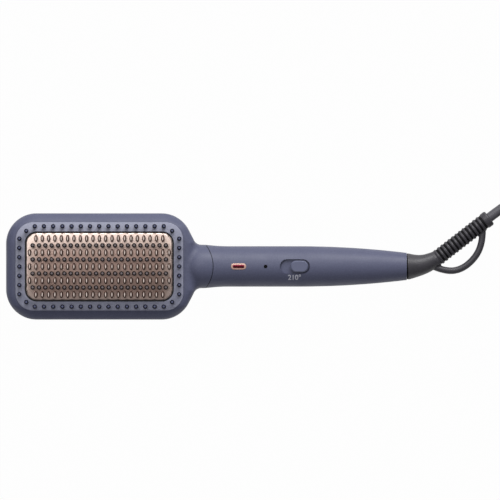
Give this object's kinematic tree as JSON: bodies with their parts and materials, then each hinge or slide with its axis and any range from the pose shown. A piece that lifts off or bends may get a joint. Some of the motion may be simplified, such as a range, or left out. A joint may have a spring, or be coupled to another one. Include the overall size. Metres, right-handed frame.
{
  "type": "hair straightener brush",
  "caption": "Heated paddle straightening brush with finned plate, ball-ended guard pins, ion outlet, slide switch and swivel mains cord with a hanging loop.",
  "frame": {"origin": "under the middle of the brush's length and width, at the height of its flat back, the cord left out", "axes": "+X from the paddle to the cord along the handle, +Z out of the bristle side"},
  "size_m": [0.4819, 0.119, 0.0419],
  "materials": {
    "body_plastic": "fine satin moulded texture, slate navy",
    "frame_plastic": "satin, slightly lighter than the housing",
    "knob_plastic": "satin, polished bevel",
    "plate_metal": "ceramic-coated rose gold, satin",
    "tip_plastic": "glossy dark nylon",
    "seal_rubber": "matt silicone",
    "rim_metal": "polished rose gold",
    "lens_plastic": "dark smoked clear plastic",
    "guard_rubber": "matt moulded elastomer",
    "cord_pvc": "matt extruded sheath",
    "tie_fabric": "hook-and-loop band",
    "plug_plastic": "moulded, lightly grained",
    "pin_metal": "nickel plated",
    "inner_plastic": "natural glass-filled moulding",
    "outlet_plastic": "crimson insulating moulding",
    "potting": "cast resin",
    "capacitor_plastic": "dipped",
    "heater_ceramic": "fired ceramic with silvered faces",
    "film": "amber heat-proof film",
    "foil_metal": "rolled foil",
    "steel": "zinc plated",
    "contact_brass": "turned",
    "board": "green solder mask",
    "led_resin": "clear resin",
    "wire_sleeve": "silicone sleeving"
  },
  "bodies": {
    "brush": {"head_front_housing": "body_plastic", "head_back_cover": "body_plastic", "handle_front_shell": "body_plastic", "handle_back_shell": "body_plastic", "comb_frame": "frame_plastic", "heating_plate": "plate_metal", "bristle_tips": "tip_plastic", "guard_pins": "tip_plastic", "plate_gasket": "seal_rubber", "screw_plugs": "seal_rubber", "ion_outlet_rim": "rim_metal", "led_lens": "lens_plastic", "plate_retainer": "inner_plastic", "contact_carrier": "inner_plastic", "swivel_bush": "inner_plastic", "slide_switch_body": "inner_plastic", "terminal_blocks": "inner_plastic", "ion_needle_holder": "outlet_plastic", "ion_module": "potting", "triac": "potting", "board_chip": "potting", "temperature_sensor": "potting", "thermal_fuse": "potting", "mains_capacitor": "capacitor_plastic", "ptc_heaters": "heater_ceramic", "heater_insulation": "film", "heat_shield": "film", "heater_electrodes": "foil_metal", "heater_clamp": "steel", "fuse_clip": "steel", "clamp_screws": "steel", "retainer_screws": "steel", "shield_screws": "steel", "head_screws": "steel", "handle_screws": "steel", "contact_springs": "steel", "ion_needles": "steel", "control_board": "board", "indicator_led": "led_resin", "heater_leads": "wire_sleeve", "ion_lead": "wire_sleeve", "supply_wires": "wire_sleeve"},
    "switch": {"switch_knob": "knob_plastic", "switch_slider": "inner_plastic"},
    "cord_set": {"swivel_journal": "inner_plastic", "slip_ring_hub": "inner_plastic", "slip_rings": "contact_brass", "cord_guard": "guard_rubber", "cord_lead": "cord_pvc", "cord_tail": "cord_pvc", "cord_coil": "cord_pvc", "cord_tie": "tie_fabric", "plug_body": "plug_plastic", "plug_pins": "pin_metal"}
  },
  "joints": [
    {"name": "switch_slide", "type": "slide", "parent": "brush", "child": "switch", "axis": [1, 0, 0], "range_m": [-0.0066, 0]},
    {"name": "cord_swivel", "type": "hinge", "parent": "brush", "child": "cord_set", "pos_m": [0.1486, 0, 0.0162], "axis": [1, 0, 0], "continuous": true}
  ]
}
